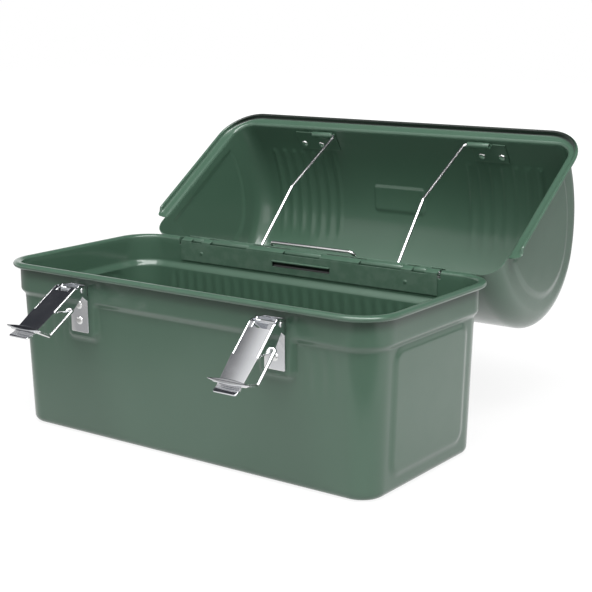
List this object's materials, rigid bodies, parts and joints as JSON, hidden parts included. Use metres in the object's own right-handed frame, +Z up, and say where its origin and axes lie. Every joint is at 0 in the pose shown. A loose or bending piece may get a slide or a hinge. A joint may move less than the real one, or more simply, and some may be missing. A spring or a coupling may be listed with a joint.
{
  "type": "lunch box",
  "caption": "Steel lunch box with a hinged domed lid, toggle latches on the front, a wire flask holder inside the lid and a carrying handle on top.",
  "frame": {"origin": "middle of the tub's flat underside, on the surface that it stands on", "axes": "+Z up, -Y towards the latches at the front, +X along the box's length to the right seen from the front"},
  "size_m": [0.3368, 0.3614, 0.2129],
  "materials": {
    "shell_paint": "semi-gloss grey-green enamel on sheet steel",
    "plated_steel": "bright plated steel sheet, finely rubbed",
    "bright_wire": "bright plated steel wire",
    "rivet_steel": "dull plated rivet heads",
    "grip_plastic": "dark moulded grip"
  },
  "bodies": {
    "base": {"base_tub": "shell_paint", "base_hinge_leaf": "shell_paint", "hinge_pin": "plated_steel", "latch_plate_left": "plated_steel", "latch_plate_right": "plated_steel", "lever_pin_left": "plated_steel", "lever_pin_right": "plated_steel", "latch_rivets": "rivet_steel"},
    "lid": {"lid_shell": "shell_paint", "lid_hinge_leaf": "shell_paint", "catch_left": "plated_steel", "catch_right": "plated_steel", "catch_rivets": "rivet_steel", "bottle_bracket_left": "shell_paint", "bottle_bracket_right": "shell_paint", "handle_bracket_left": "plated_steel", "handle_bracket_right": "plated_steel", "handle_rivets": "rivet_steel"},
    "lever_left": {"lever_left": "plated_steel"},
    "lever_right": {"lever_right": "plated_steel"},
    "bail_left": {"bail_wire_left": "bright_wire", "hook_bar_left": "plated_steel"},
    "bail_right": {"bail_wire_right": "bright_wire", "hook_bar_right": "plated_steel"},
    "bottle_bail": {"bottle_bail": "bright_wire"},
    "handle": {"handle_bail": "bright_wire", "handle_grip": "grip_plastic"}
  },
  "joints": [
    {"name": "lid_hinge", "type": "hinge", "parent": "base", "child": "lid", "pos_m": [0, 0.0775, 0.12], "axis": [1, 0, 0], "range_deg": [0, 145.6]},
    {"name": "lever_left_pivot", "type": "hinge", "parent": "base", "child": "lever_left", "pos_m": [-0.086, -0.0815, 0.1113], "axis": [1, 0, 0], "range_deg": [0, 58.5]},
    {"name": "bail_left_pivot", "type": "hinge", "parent": "lever_left", "child": "bail_left", "pos_m": [-0.086, -0.09331, 0.09996], "axis": [-1, 0, 0], "range_deg": [0, 163.46]},
    {"name": "lever_right_pivot", "type": "hinge", "parent": "base", "child": "lever_right", "pos_m": [0.086, -0.0815, 0.1113], "axis": [1, 0, 0], "range_deg": [0, 45]},
    {"name": "bail_right_pivot", "type": "hinge", "parent": "lever_right", "child": "bail_right", "pos_m": [0.086, -0.09034, 0.09751], "axis": [-1, 0, 0], "range_deg": [0, 163.46]},
    {"name": "bottle_bail_pivot", "type": "hinge", "parent": "lid", "child": "bottle_bail", "pos_m": [0, 0.20012, 0.19669], "axis": [-1, 0, 0], "range_deg": [0, 55]},
    {"name": "handle_pivot", "type": "hinge", "parent": "lid", "child": "handle", "pos_m": [0, 0.20393, 0.07253], "axis": [1, 0, 0], "range_deg": [-60.6, 129.4]}
  ],
  "couplings": [
    {"joint": "bail_left_pivot", "follows": "lever_left_pivot", "ratio": 2.794},
    {"joint": "bail_right_pivot", "follows": "lever_right_pivot", "ratio": 3.632}
  ]
}
